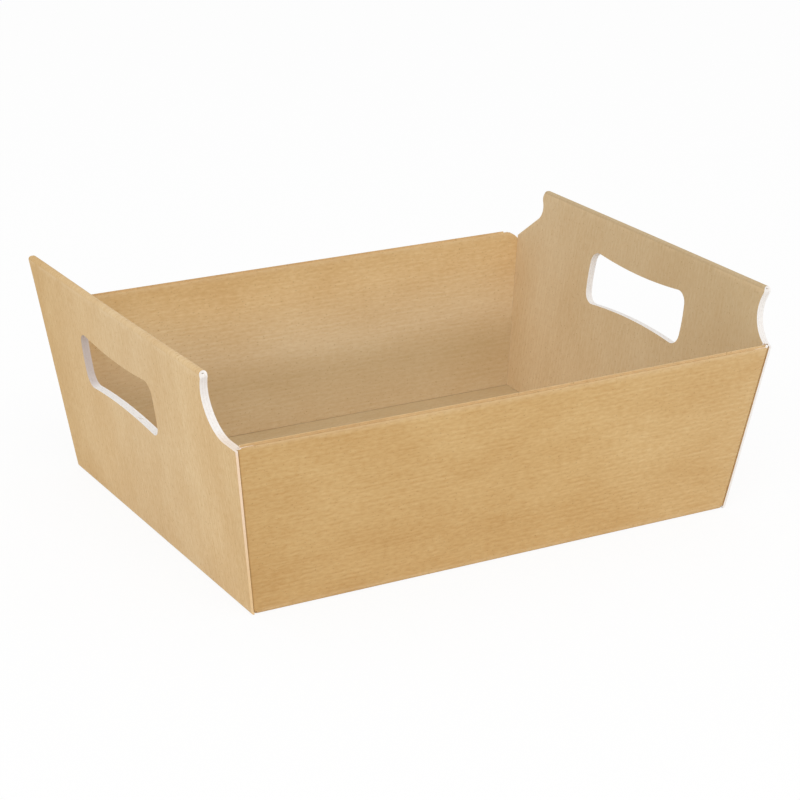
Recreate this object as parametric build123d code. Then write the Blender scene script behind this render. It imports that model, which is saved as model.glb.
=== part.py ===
"""Cardboard gift basket folded from one die-cut sheet.

The base carries two double end walls with hand holes and two double long walls.
Flaps on the long walls turn the corners and lie captive between the two plies of
each end, and tabs on the inner end plies lock into slots in the base.
Lengths are in millimetres, angles in degrees, the base stands on z = 0.
"""

import os
from dataclasses import dataclass
from math import cos, radians, sin, tan

from build123d import *

# Sheet
board = 1.3
ply_gap = 0.15
fold_inner_radius = 0.5

# Outer form
base_length = 300.0
base_width = 232.0
rim_height = 100.2
handle_height = 131.0
end_lean = 8.4
side_lean = 8.1

# Hand holes, placed down the slope from the end's top and along from its middle
hole_width = 95.0
hole_end_height = 33.5
hole_top_sag = 3.0
hole_foot_rise = 3.0
hole_end_bulge = 1.5
hole_corner_radius = 7.0
right_hole_drop = 39.1
right_hole_forward = 4.0
left_hole_drop = 46.6
left_hole_back = 20.0

# Scoops beside the handles, placed from the corners, and rounded ends of the rims
scoop_radius = 20.0
scoop_drop = 2.6
back_right_scoop_inset = 6.3
front_right_scoop_overhang = 7.7
front_left_scoop_inset = 13.3
ear_radius = 5.0
back_rim_radius = 14.0
back_rim_overrun = 3.0
front_rim_radius = 2.5
front_rim_overrun = 0.6

# Captive corner flaps
flap_meet_gap = 2.0
flap_foot_angle = 25.0
flap_foot_relief = 3.0

# Lock tabs of the inner end plies
tab_width = 34.0
tab_pitch = 118.0
tab_recess = 0.2

# Least upright share of a standing edge's direction
upright_share = 0.5

# Derived sizes
fold_radius = fold_inner_radius + board
end_pack = 3 * board + 2 * ply_gap
side_pack = 2 * board + ply_gap
flap_inset = board + ply_gap
end_slope = radians(end_lean)
side_slope = radians(side_lean)
top_rise = end_pack / 2 + (handle_height - end_pack / 2 * (1 + sin(end_slope))) / cos(end_slope)
rim_rise = side_pack / 2 + (rim_height - side_pack / 2 * (1 + sin(side_slope))) / cos(side_slope)
reach = handle_height + base_length


def half_length(z: float, inset: float = 0.0) -> float:
    """Half length of the basket at height z, on a plane inset from the end faces."""
    return base_length / 2 + z * tan(end_slope) - inset / cos(end_slope)


def half_width(z: float, inset: float = 0.0) -> float:
    """Half width of the basket at height z, on a plane inset from the long faces."""
    return base_width / 2 + z * tan(side_slope) - inset / cos(side_slope)


def tapered_block(end_inset: float, side_inset: float, bottom: float, top: float) -> Solid:
    """Block between the four leaning wall planes, each plane moved inward by its inset."""
    rings = []
    for z in (bottom, top):
        x = half_length(z, end_inset)
        y = half_width(z, side_inset)
        rings.append([Vector(-x, -y, z), Vector(x, -y, z), Vector(x, y, z), Vector(-x, y, z)])
    lower, upper = rings
    faces = [Face(Wire.make_polygon(lower)), Face(Wire.make_polygon(upper))]
    for here, after in ((0, 1), (1, 2), (2, 3), (3, 0)):
        loop = [lower[here], lower[after], upper[after], upper[here]]
        faces.append(Face(Wire.make_polygon(loop)))
    return Solid(Shell(faces))


def rounded_block(block: Solid, radius: float) -> Part:
    """Round the four standing edges of a tapered block."""
    standing = [edge for edge in block.edges() if abs(edge.tangent_at(0).Z) > upright_share]
    return fillet(standing, radius)


class WallSection:
    """Cross-section of a folded double wall, from its base crease to its rolled rim.

    Points are given up the slope (rise) and out of the wall (out, zero on the outer face).
    """

    def __init__(self, half_base: float, slope: float, rise: float, pack: float) -> None:
        self.half_base = half_base
        self.slope = slope
        self.rise = rise
        self.pack = pack
        self.bend = pack / 2
        self.bend_rise = rise - self.bend
        self.fold_centre = half_base + fold_radius * tan(slope) - fold_radius / cos(slope)

    def at(self, rise: float, out: float) -> Vector:
        """Section point for a rise and an offset from the outer face."""
        run = self.half_base + rise * sin(self.slope) + out * cos(self.slope)
        return Vector(run, rise * cos(self.slope) - out * sin(self.slope))

    def on_fold(self, radius: float, turn: float) -> Vector:
        """Section point on the base crease, turned outward from straight down."""
        return Vector(self.fold_centre + radius * sin(turn), fold_radius - radius * cos(turn))

    def rise_at(self, z: float, out: float) -> float:
        """Rise at which the plane of a given offset reaches a height."""
        return (z + out * sin(self.slope)) / cos(self.slope)

    def outer_ply(self) -> Face:
        """Base crease, outer ply and the half turn over the rim."""
        full = radians(90) - self.slope
        bend, top = self.bend, self.bend_rise
        inner = bend - board
        lap = self.fold_centre - board
        path = [
            Line(Vector(lap, 0), self.on_fold(fold_radius, 0)),
            ThreePointArc(
                self.on_fold(fold_radius, 0),
                self.on_fold(fold_radius, full / 2),
                self.on_fold(fold_radius, full),
            ),
            Line(self.on_fold(fold_radius, full), self.at(top, 0)),
            ThreePointArc(self.at(top, 0), self.at(self.rise, -bend), self.at(top, -self.pack)),
            Line(self.at(top, -self.pack), self.at(top, board - self.pack)),
            ThreePointArc(
                self.at(top, board - self.pack),
                self.at(top + inner, -bend),
                self.at(top, -board),
            ),
            Line(self.at(top, -board), self.on_fold(fold_inner_radius, full)),
            ThreePointArc(
                self.on_fold(fold_inner_radius, full),
                self.on_fold(fold_inner_radius, full / 2),
                self.on_fold(fold_inner_radius, 0),
            ),
            Line(self.on_fold(fold_inner_radius, 0), Vector(lap, board)),
            Line(Vector(lap, board), Vector(lap, 0)),
        ]
        return make_face(path)

    def inner_ply(self, foot: float, spare: float = 0.0) -> Face:
        """Inner ply from the rim bend down to a foot height, thickened by a spare."""
        low = self.rise_at(foot, board - self.pack)
        inside = -self.pack - spare
        outside = board - self.pack + spare
        corners = [
            self.at(low, inside),
            self.at(self.bend_rise, inside),
            self.at(self.bend_rise, outside),
            self.at(low, outside),
        ]
        return make_face(Polyline(*corners, close=True))


end_section = WallSection(base_length / 2, end_slope, top_rise, end_pack)
side_section = WallSection(base_width / 2, side_slope, rim_rise, side_pack)

# Sketch planes on the outer faces, x along the base edge and y up the slope
end_frame = Plane(
    origin=(base_length / 2, 0, 0), x_dir=(0, 1, 0), z_dir=(cos(end_slope), 0, -sin(end_slope))
)
side_frame = Plane(
    origin=(0, base_width / 2, 0), x_dir=(-1, 0, 0), z_dir=(0, cos(side_slope), -sin(side_slope))
)


def sweep_along_y(section: Face, width: float) -> Part:
    """Extrude an end section evenly to both sides of the long axis."""
    return extrude(Plane.XZ * section, amount=width / 2, both=True)


def sweep_along_x(section: Face, length: float) -> Part:
    """Extrude a long-wall section evenly to both sides of the cross axis."""
    return extrude(Plane.YZ * section, amount=length / 2, both=True)


@dataclass(frozen=True)
class EndCut:
    """Cut-outs of one end: distances of its scoops from its middle, and its hand hole's place.

    A side with no scoop keeps its straight edge up to a pointed corner.
    """

    back_scoop: float | None
    front_scoop: float | None
    hole_shift: float
    hole_rise: float


corner_run = half_width(rim_height)
right_cut = EndCut(
    corner_run - back_right_scoop_inset,
    corner_run + front_right_scoop_overhang,
    -right_hole_forward,
    top_rise - right_hole_drop,
)
left_cut = EndCut(
    None, corner_run - front_left_scoop_inset, left_hole_back, top_rise - left_hole_drop
)


def hand_hole() -> Sketch:
    """Bow-tie hand hole with rounded corners, about its own centre."""
    half = hole_width / 2
    top = hole_end_height / 2
    outline = [
        ThreePointArc((-half, top), (0, top - hole_top_sag), (half, top)),
        ThreePointArc((half, top), (half + hole_end_bulge, 0), (half, -top)),
        ThreePointArc((half, -top), (0, hole_foot_rise - top), (-half, -top)),
        ThreePointArc((-half, -top), (-half - hole_end_bulge, 0), (-half, top)),
    ]
    shape = make_face(outline)
    return fillet(shape.vertices(), hole_corner_radius)


def end_cutter(cut: EndCut) -> Part:
    """Tool that cuts the scoops, the ears' roundings and the hand hole through an end."""
    centre_rise = rim_rise - scoop_drop + scoop_radius
    scoop_foot = centre_rise - scoop_radius
    lifted_top = top_rise + ply_gap
    beyond = half_width(handle_height) + scoop_radius
    back = beyond if cut.back_scoop is None else cut.back_scoop
    front = beyond if cut.front_scoop is None else cut.front_scoop
    middle = (scoop_foot + lifted_top) / 2
    kept = Pos((back - front) / 2, middle) * Rectangle(back + front, lifted_top - scoop_foot)
    if cut.back_scoop is not None:
        kept -= Pos(cut.back_scoop, centre_rise) * Circle(scoop_radius)
    if cut.front_scoop is not None:
        kept -= Pos(-cut.front_scoop, centre_rise) * Circle(scoop_radius)
    ears = [v for v in kept.vertices() if v.Y > lifted_top - ply_gap]
    kept = fillet(ears, ear_radius)
    field_height = lifted_top - scoop_foot + scoop_radius
    field = Pos(0, scoop_foot + field_height / 2) * Rectangle(2 * base_width, field_height)
    tool = (field - kept) + Pos(cut.hole_shift, cut.hole_rise) * hand_hole()
    return extrude(end_frame * tool, amount=-(end_pack + board)) + extrude(end_frame * tool, amount=board)


def rim_cutter(radius: float, overrun: float) -> Part:
    """Tool that rounds both ends of a long wall's rim, past the corners by an overrun."""
    run = half_length(rim_height) + overrun
    lifted_top = rim_rise + ply_gap
    depth = 2 * radius
    kept = Pos(0, lifted_top - depth / 2) * Rectangle(2 * run, depth)
    corners = [v for v in kept.vertices() if v.Y > lifted_top - ply_gap]
    kept = fillet(corners, radius)
    field_foot = lifted_top - radius
    field = Pos(0, field_foot + handle_height / 2) * Rectangle(2 * base_length, handle_height)
    tool = field - kept
    return extrude(side_frame * tool, amount=-(side_pack + board)) + extrude(side_frame * tool, amount=board)


def tab_places() -> list[float]:
    """Positions of the two lock tabs across an end."""
    return [-tab_pitch / 2, tab_pitch / 2]


def end_wall() -> Part:
    """Uncut double end wall at +X: base crease, outer ply, rolled top, inner ply and tabs."""
    outer_limit = tapered_block(-board, 0, -board, reach)
    inner_limit = tapered_block(-board, side_pack + ply_gap, 0, reach)
    wall = sweep_along_y(end_section.outer_ply(), reach) & outer_limit
    wall += sweep_along_y(end_section.inner_ply(board + ply_gap), reach) & inner_limit
    for place in tab_places():
        wall += Pos(0, place, 0) * sweep_along_y(end_section.inner_ply(tab_recess), tab_width)
    return wall


def side_wall(rim_tool: Part) -> Part:
    """Double long wall at +Y with the ends of its rim rounded: both plies and the rolled rim."""
    outer_limit = tapered_block(flap_inset + fold_radius, -board, -board, reach)
    inner_limit = tapered_block(flap_inset + board + ply_gap, -board, 0, reach)
    wall = sweep_along_x(side_section.outer_ply(), reach) & outer_limit
    wall += sweep_along_x(side_section.inner_ply(board + ply_gap), reach) & inner_limit
    return wall - rim_tool


def corner_flap() -> tuple[Part, Part]:
    """Uncut captive flap at the +X end, and the bend that joins it to the +Y long wall."""
    top = handle_height - end_pack / 2 - ply_gap
    outside = rounded_block(tapered_block(flap_inset, 0, 0, top), fold_radius)
    inside = rounded_block(tapered_block(flap_inset + board, board, -board, reach), fold_inner_radius)
    ring = outside - inside
    straight = tapered_block(flap_inset + fold_radius, -board, -board, reach)
    turned = ring - straight
    low = flap_foot_relief
    corner = half_width(0)
    peak = low + corner * tan(radians(flap_foot_angle))
    foot = Polyline(
        (-corner, -board), (corner, -board), (corner, low), (0, peak), (-corner, low), close=True
    )
    gap = Pos(0, top_rise / 2) * Rectangle(flap_meet_gap, 2 * top_rise)
    trim = extrude(end_frame * (make_face(foot) + gap), amount=-(end_pack + fold_radius))
    trim += extrude(end_frame * (make_face(foot) + gap), amount=board)
    heel = Pos(0, 0, low / 2) * Box(2 * base_length, 2 * base_width, low)
    turned = turned - trim - heel
    quarter = Pos(base_length / 2, base_width / 2, 0) * Box(base_length, base_width, 2 * reach)
    turned = turned & quarter
    flat = tapered_block(-board, fold_radius, -board, reach)
    return turned & flat, turned - flat


def base_panel() -> Part:
    """Flat base with the slots that take the lock tabs."""
    length = 2 * end_section.fold_centre
    width = 2 * side_section.fold_centre
    panel = Pos(0, 0, board / 2) * Box(length, width, board)
    slot = sweep_along_y(end_section.inner_ply(-board, ply_gap), tab_width + 2 * ply_gap)
    for place in tab_places():
        placed = Pos(0, place, 0) * slot
        panel -= placed
        panel -= mirror(placed, about=Plane.YZ)
    return panel


back_rim = rim_cutter(back_rim_radius, back_rim_overrun)
front_rim = rim_cutter(front_rim_radius, front_rim_overrun)


def finished_end(cut: EndCut) -> Part:
    """End at +X with its two captive flaps, cut through together, and their corner bends."""
    tool = end_cutter(cut)
    flap, bend = corner_flap()
    end = end_wall() - tool
    end += (flap - tool) + (bend - back_rim)
    end += (mirror(flap, about=Plane.XZ) - tool) + mirror(bend - front_rim, about=Plane.XZ)
    return end


def folded_basket() -> Part:
    """The whole sheet, folded up."""
    basket = base_panel()
    basket += finished_end(right_cut)
    basket += mirror(finished_end(left_cut), about=Plane.YZ)
    basket += side_wall(back_rim)
    basket += mirror(side_wall(front_rim), about=Plane.XZ)
    return basket


os.makedirs("parts", exist_ok=True)
sheet = folded_basket()
export_step(sheet, "parts/folded_basket.step")
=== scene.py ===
"""Kraft gift basket, folded from one die-cut sheet, in a plain white studio.

The sheet is laid out panel by panel in the part's own frame, keeps its place in the
flat blank so that the liner's grain runs as it does on the real board, and is given
its thickness and its slight bow by a Geometry Nodes tree.
"""

import logging
from dataclasses import dataclass, field
from enum import Enum
from math import acos, asin, atan2, cos, hypot, pi, radians, sin, sqrt, tan, tau
from typing import Callable

import bmesh
import bpy
import numpy as np
from mathutils import Matrix, Vector
from mathutils.geometry import delaunay_2d_cdt, interpolate_bezier


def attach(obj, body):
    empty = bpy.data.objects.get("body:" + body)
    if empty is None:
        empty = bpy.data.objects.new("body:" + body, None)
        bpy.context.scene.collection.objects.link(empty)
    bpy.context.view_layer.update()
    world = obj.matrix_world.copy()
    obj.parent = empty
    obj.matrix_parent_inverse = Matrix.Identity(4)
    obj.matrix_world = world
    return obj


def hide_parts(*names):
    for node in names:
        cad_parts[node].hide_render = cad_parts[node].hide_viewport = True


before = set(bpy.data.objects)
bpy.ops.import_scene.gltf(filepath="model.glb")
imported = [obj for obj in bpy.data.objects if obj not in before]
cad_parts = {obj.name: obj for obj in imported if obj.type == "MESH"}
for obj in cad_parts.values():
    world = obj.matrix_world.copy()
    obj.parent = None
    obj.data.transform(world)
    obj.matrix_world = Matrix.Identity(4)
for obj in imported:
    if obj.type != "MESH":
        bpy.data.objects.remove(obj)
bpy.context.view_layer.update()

log = logging.getLogger("gift_basket")

MM = 0.001
SHEET_UV = "sheet"
MARK_NAMES = ("crease", "tone", "inside")
RANGE_SOCKETS = ("Value", "From Min", "From Max", "To Min", "To Max")
# Sockets that share their names with those of other data types: value or share, then ends.
VECTOR_RANGE = (6, 7, 8, 9, 10)
VECTOR_MIX = (0, 4, 5)
COLOUR_MIX = (0, 6, 7)
# Tone of the base: painted shade, the darkest grey of the paper's tones, which also darkens the
# rolled tops of the ends and the start of each base crease.
PAINTED_SHADE_TONE = 1.0
# Belly in mm that keeps the points of a straight edge off one line.
BELLY = 0.02
# Spacing in mm of the points on a slanted edge, and the length under which it has one.
EDGE_STEP = 8.0
SHORT_EDGE = 0.1
# Points of an outline closer than this, in mm, are one.
SAME_POINT = 0.01
# Steps that settle where two curves meet.
SETTLE_STEPS = 6

Point2 = tuple[float, float]
Triple = tuple[float, float, float]
Marks = tuple[float, float, float]
Limit = Callable[[float], float]


def linear(hex_colour: str) -> tuple[float, float, float, float]:
    """Turn an sRGB hex colour into a linear RGBA colour.

    Args:
        hex_colour: Colour as "#RRGGBB".

    Returns:
        Linear red, green, blue and an alpha of 1.
    """
    channels = [int(hex_colour[i : i + 2], 16) / 255 for i in (1, 3, 5)]
    curve = [c / 12.92 if c <= 0.04045 else ((c + 0.055) / 1.055) ** 2.4 for c in channels]
    return (curve[0], curve[1], curve[2], 1.0)


def add_node(
    tree: bpy.types.NodeTree, kind: str, inputs: dict | None = None, **settings: object
) -> bpy.types.Node:
    """Add a node with its settings, socket values and links.

    Args:
        tree: Tree that takes the node.
        kind: Blender's node type.
        inputs: Socket name or index to a value, or to an output socket to link.
        settings: Properties of the node itself.

    Returns:
        The new node.
    """
    node = tree.nodes.new(kind)
    for name, value in settings.items():
        setattr(node, name, value)
    for key, value in (inputs or {}).items():
        if isinstance(value, bpy.types.NodeSocket):
            tree.links.new(value, node.inputs[key])
        else:
            node.inputs[key].default_value = value
    return node


def new_object(name: str, data: bpy.types.ID) -> bpy.types.Object:
    """Make an object and put it in the scene.

    Args:
        name: Name of the object.
        data: Its mesh, lamp or camera.

    Returns:
        The object, at the origin.
    """
    made = bpy.data.objects.new(name, data)
    bpy.context.scene.collection.objects.link(made)
    return made


def empty_tree(owner: bpy.types.Material | bpy.types.World) -> bpy.types.NodeTree:
    """Give a material or a world a node tree with nothing in it.

    Args:
        owner: The material or world.

    Returns:
        Its empty tree.
    """
    owner.use_nodes = True
    owner.node_tree.nodes.clear()
    return owner.node_tree


class WallKind(Enum):
    """Which pair of walls a wall belongs to."""

    END = "end"
    LONG = "long"


@dataclass(frozen=True)
class Board:
    """The sheet: its thickness, the air between plies and the crease's inner radius, in mm."""

    thickness: float = 1.3
    gap: float = 0.15
    crease: float = 0.5

    @property
    def fold_radius(self) -> float:
        """Outer radius of a square fold."""
        return self.crease + self.thickness

    @property
    def fold_middle(self) -> float:
        """Radius of the sheet's middle in a square fold."""
        return self.crease + self.thickness / 2

    @property
    def flap_inset(self) -> float:
        """Depth of a captive flap's outer face behind the end's outer face."""
        return self.thickness + self.gap

    @property
    def end_pack(self) -> float:
        """Whole thickness of an end: two plies and the captive flap."""
        return 3 * self.thickness + 2 * self.gap

    @property
    def side_pack(self) -> float:
        """Whole thickness of a double long wall."""
        return 2 * self.thickness + self.gap


@dataclass(frozen=True)
class BasketForm:
    """Outer form of the basket, in mm and degrees."""

    board: Board = field(default_factory=Board)
    base_length: float = 300.0
    base_width: float = 232.0
    rim_height: float = 100.2
    handle_height: float = 131.0
    end_lean: float = 8.4
    side_lean: float = 8.1

    def half_length(self, z: float, inset: float = 0.0) -> float:
        """Half length at a height, on a plane inset from the ends."""
        slope = radians(self.end_lean)
        return self.base_length / 2 + z * tan(slope) - inset / cos(slope)

    def half_width(self, z: float, inset: float = 0.0) -> float:
        """Half width at a height, on a plane inset from the long walls."""
        slope = radians(self.side_lean)
        return self.base_width / 2 + z * tan(slope) - inset / cos(slope)


@dataclass(frozen=True)
class WallPlane:
    """One leaning wall: places points given along it, up it and out of it."""

    kind: WallKind
    side: int
    half_base: float
    slope: float
    height: float
    pack: float
    board: Board

    @property
    def bend(self) -> float:
        """Outer radius of the half turn over the rim."""
        return self.pack / 2

    @property
    def rise(self) -> float:
        """Length up the slope to the crown of the rim."""
        return self.bend + (self.height - self.bend * (1 + sin(self.slope))) / cos(self.slope)

    @property
    def bend_rise(self) -> float:
        """Length up the slope to where the half turn starts."""
        return self.rise - self.bend

    @property
    def fold_turn(self) -> float:
        """Angle that the base crease turns through."""
        return pi / 2 - self.slope

    @property
    def fold_centre(self) -> float:
        """Distance of the base crease's axis from the basket's middle."""
        radius = self.board.fold_radius
        return self.half_base + radius * tan(self.slope) - radius / cos(self.slope)

    @property
    def fold_rise(self) -> float:
        """Length up the slope to where the base crease ends."""
        return self.board.fold_radius * tan(self.fold_turn / 2)

    def turned(self, along: float, run: float, z: float) -> Vector:
        """Point for a place along the wall, a distance from the middle and a height.

        Args:
            along: Place along the wall.
            run: Distance from the basket's middle.
            z: Height.

        Returns:
            The point in the part's frame, in mm.
        """
        if self.kind is WallKind.END:
            return Vector((self.side * run, along, z))
        return Vector((along, self.side * run, z))

    def at(self, along: float, rise: float, out: float) -> Vector:
        """Point along the wall, up its slope and out of its outer face."""
        run = self.half_base + rise * sin(self.slope) + out * cos(self.slope)
        return self.turned(along, run, rise * cos(self.slope) - out * sin(self.slope))

    def height_at(self, rise: float, out: float) -> float:
        """Height of a point up the slope and out of the outer face."""
        return rise * cos(self.slope) - out * sin(self.slope)

    def rise_at(self, z: float, out: float) -> float:
        """Length up the slope at which a plane of a given offset reaches a height."""
        return (z + out * sin(self.slope)) / cos(self.slope)

    def outward(self) -> Vector:
        """Unit vector out of the wall."""
        return self.turned(0.0, cos(self.slope), -sin(self.slope))

    def upward(self) -> Vector:
        """Unit vector up the wall."""
        return self.turned(0.0, sin(self.slope), cos(self.slope))

    def flat(self, along: float, length: float) -> Point2:
        """Place in the flat blank for a length measured out from the base edge."""
        reach = self.side * (self.half_base + length)
        return (reach, along) if self.kind is WallKind.END else (along, reach)


@dataclass
class PatchLook:
    """What a patch of the sheet carries: its bow, its creases and its tone, which holds painted
    light and shade.
    """

    bow: Callable[[float, float], Vector]
    inside: float = 0.0
    creases: tuple[float, ...] = ()
    tones: tuple[Point2, ...] = ((0.0, 0.0),)
    sheen_falloff: float = 0.0
    slant: float = 0.0
    half: float = 1.0

    def tone_at(self, along: float, rise: float) -> float:
        """Tone at a place: run between the rises that have one, with a painted sheen that falls
        off towards the sides and a painted light gradient slanting along the ply.

        Args:
            along: Place along the wall.
            rise: Length up the slope.

        Returns:
            The tone, where 0 is brown and 1 is grey.
        """
        rises, tones = zip(*self.tones)
        share = along / self.half
        return float(np.interp(rise, rises, tones)) - self.sheen_falloff * share**2 + self.slant * share


@dataclass
class SheetMesh:
    """One-layer surface of the folded sheet, with its place in the flat blank."""

    points: list[Vector] = field(default_factory=list)
    flats: list[Point2] = field(default_factory=list)
    bows: list[Vector] = field(default_factory=list)
    marks: list[Marks] = field(default_factory=list)
    faces: list[tuple[int, int, int]] = field(default_factory=list)

    CREASE_REACH = 1.2
    CREASE_ROWS = (0.9, 1.8, 3.2)
    GRID = 7.0
    BORDER_STEP = 1.0
    BORDER_CLEAR = 0.7
    WELD = 0.02
    FINEST = 1e-6
    WHOLE_HULL = 0

    def add_point(self, point: Vector, flat: Point2, bow: Vector, marks: Marks) -> int:
        """Add one vertex.

        Args:
            point: Point of the middle of the sheet.
            flat: Its place in the blank.
            bow: How it bows.
            marks: Its crease, tone and inside marks.

        Returns:
            Number of the vertex.
        """
        self.points.append(point)
        self.flats.append(flat)
        self.bows.append(bow)
        self.marks.append(marks)
        return len(self.points) - 1

    def add_face(self, a: int, b: int, c: int, facing: Vector) -> None:
        """Add a triangle turned so that it faces a given way.

        Args:
            a: Number of a vertex.
            b: Number of the next.
            c: Number of the last.
            facing: Way that it faces.
        """
        pa, pb, pc = self.points[a], self.points[b], self.points[c]
        normal = (pb - pa).cross(pc - pa)
        self.faces.append((a, b, c) if normal.dot(facing) >= 0 else (a, c, b))

    def add_panel(
        self,
        outline: list[Point2],
        holes: list[list[Point2]],
        place: Callable[[float, float], Vector],
        flat: Callable[[float, float], Point2],
        facing: Vector,
        look: PatchLook,
    ) -> None:
        """Fill a flat panel with triangles that follow its outline and holes.

        Args:
            outline: Outline of the panel, along and up.
            holes: Outlines of its holes.
            place: Gives the point of the middle of the sheet.
            flat: Gives the place in the blank.
            facing: Way that the blank's printed side faces.
            look: Bow, creases and tone.
        """
        loops = [outline, *holes]
        fixed = [point for loop in loops for point in loop]
        edges, start = [], 0
        for loop in loops:
            count = len(loop)
            edges += [(start + i, start + (i + 1) % count) for i in range(count)]
            start += count
        spots = fixed + self._grid_inside(loops, look.creases)
        corners = [Vector(spot) for spot in spots]
        result = delaunay_2d_cdt(corners, edges, [], self.WHOLE_HULL, self.FINEST, False)
        coords, triangles = result[0], result[2]
        centres = np.array([np.mean([coords[i] for i in t], axis=0) for t in triangles])
        keep = inside_loops(centres, loops)
        numbers = []
        for u, v in coords:
            near = [np.exp(-(((v - c) / self.CREASE_REACH) ** 2)) for c in look.creases]
            marks = (max(near, default=0.0), look.tone_at(u, v), look.inside)
            numbers.append(self.add_point(place(u, v), flat(u, v), look.bow(u, v), marks))
        for triangle, kept in zip(triangles, keep):
            if kept:
                self.add_face(*[numbers[i] for i in triangle], facing)

    def _grid_inside(self, loops: list[list[Point2]], creases: tuple[float, ...]) -> list[Point2]:
        """Even grid of inner points, closer together beside the creases.

        Args:
            loops: Outline of a panel and its holes.
            creases: Rises at which it is creased.

        Returns:
            The points that lie inside and clear of every edge.
        """
        ring = np.array(loops[0])
        low, high = ring.min(axis=0), ring.max(axis=0)
        columns = np.linspace(low[0], high[0], max(3, round((high[0] - low[0]) / self.GRID)))
        rows = list(np.linspace(low[1], high[1], max(3, round((high[1] - low[1]) / self.GRID))))
        rows += [c + s * d for c in creases for s in (-1, 1) for d in self.CREASE_ROWS]
        spots = np.array([(u, v) for v in rows for u in columns])
        spots = spots[inside_loops(spots, loops)]
        border = np.array([p for loop in loops for p in dense(loop, self.BORDER_STEP)])
        far = [np.min(np.hypot(*(border - s).T)) > self.BORDER_CLEAR for s in spots]
        return [tuple(s) for s, ok in zip(spots, far) if ok]

    def add_strip(
        self,
        rows: list[list[Vector]],
        flats: list[list[Point2]],
        facings: list[Vector],
        bows: list[list[Vector]],
        marks: list[list[Marks]],
    ) -> None:
        """Join rows of points into a bent strip.

        Args:
            rows: Points of the middle of the sheet, row by row round the bend.
            flats: Their places in the blank.
            facings: Way that the printed side faces, for each row.
            bows: How each point bows.
            marks: Crease, tone and inside marks of each point.
        """
        whole = zip(rows, flats, bows, marks)
        numbers = [[self.add_point(*spot) for spot in zip(*row)] for row in whole]
        for i in range(len(rows) - 1):
            for j in range(len(rows[0]) - 1):
                a, b = numbers[i][j], numbers[i][j + 1]
                c, d = numbers[i + 1][j + 1], numbers[i + 1][j]
                self.add_face(a, b, c, facings[i])
                self.add_face(a, c, d, facings[i])

    def to_object(self, name: str) -> bpy.types.Object:
        """Make a mesh object of the sheet, welded along its folds.

        Args:
            name: Name of the object.

        Returns:
            The object, in metres, with its blank place as a UV map.
        """
        mesh = bpy.data.meshes.new(name)
        mesh.from_pydata([p * MM for p in self.points], [], self.faces)
        layer = mesh.uv_layers.new(name=SHEET_UV)
        corners = np.empty(len(mesh.loops), dtype=np.int32)
        mesh.loops.foreach_get("vertex_index", corners)
        layer.data.foreach_set("uv", (np.array(self.flats)[corners] * MM).ravel())
        for attribute, values in zip(MARK_NAMES, zip(*self.marks)):
            mesh.attributes.new(attribute, "FLOAT", "POINT").data.foreach_set("value", values)
        vectors = mesh.attributes.new("bow", "FLOAT_VECTOR", "POINT")
        vectors.data.foreach_set("vector", np.array([b[:] for b in self.bows]).ravel())
        work = bmesh.new()
        work.from_mesh(mesh)
        bmesh.ops.remove_doubles(work, verts=work.verts, dist=self.WELD * MM)
        loose = [v for v in work.verts if not v.link_faces]
        bmesh.ops.delete(work, geom=loose, context="VERTS")
        work.to_mesh(mesh)
        work.free()
        return new_object(name, mesh)


def dense(loop: list[Point2], step: float) -> list[Point2]:
    """Points along a closed loop, no further apart than a step.

    Args:
        loop: Corners of the loop.
        step: Longest distance between two points.

    Returns:
        The points in order.
    """
    spots = []
    for (ax, ay), (bx, by) in zip(loop, loop[1:] + loop[:1]):
        count = max(1, int(hypot(bx - ax, by - ay) / step) + 1)
        spots += [(ax + (bx - ax) * i / count, ay + (by - ay) * i / count) for i in range(count)]
    return spots


def inside_loops(spots: np.ndarray, loops: list[list[Point2]]) -> np.ndarray:
    """Tell which points lie inside the first loop and outside the others.

    Args:
        spots: Points to test, one a row.
        loops: An outline and its holes.

    Returns:
        One truth value for each point.
    """
    odd = np.zeros(len(spots), dtype=bool)
    x, y = spots[:, 0], spots[:, 1]
    for loop in loops:
        for (ax, ay), (bx, by) in zip(loop, loop[1:] + loop[:1]):
            if ay != by:
                crosses = (ay > y) != (by > y)
                odd ^= crosses & (x < (bx - ax) * (y - ay) / (by - ay) + ax)
    return odd


def even_span(low: float, high: float, step: float) -> list[float]:
    """Evenly spaced values from low to high, about a step apart."""
    return list(np.linspace(low, high, max(2, int(abs(high - low) / step) + 1)))


def slanted_edge(limit: Limit, low: float, high: float) -> list[Point2]:
    """Walk up a slanted edge, with a hair of belly so that no three points fall on one line.

    Args:
        limit: Half width of the ply at a rise.
        low: Rise to start at.
        high: Rise to stop at.

    Returns:
        Points along and up, on the positive side.
    """
    if high - low < SHORT_EDGE:
        return [(limit(high), high)]
    middle, half = (low + high) / 2, (high - low) / 2
    rises = even_span(low, high, EDGE_STEP)
    return [(limit(r) + BELLY * (1 - ((r - middle) / half) ** 2), r) for r in rises]


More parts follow.
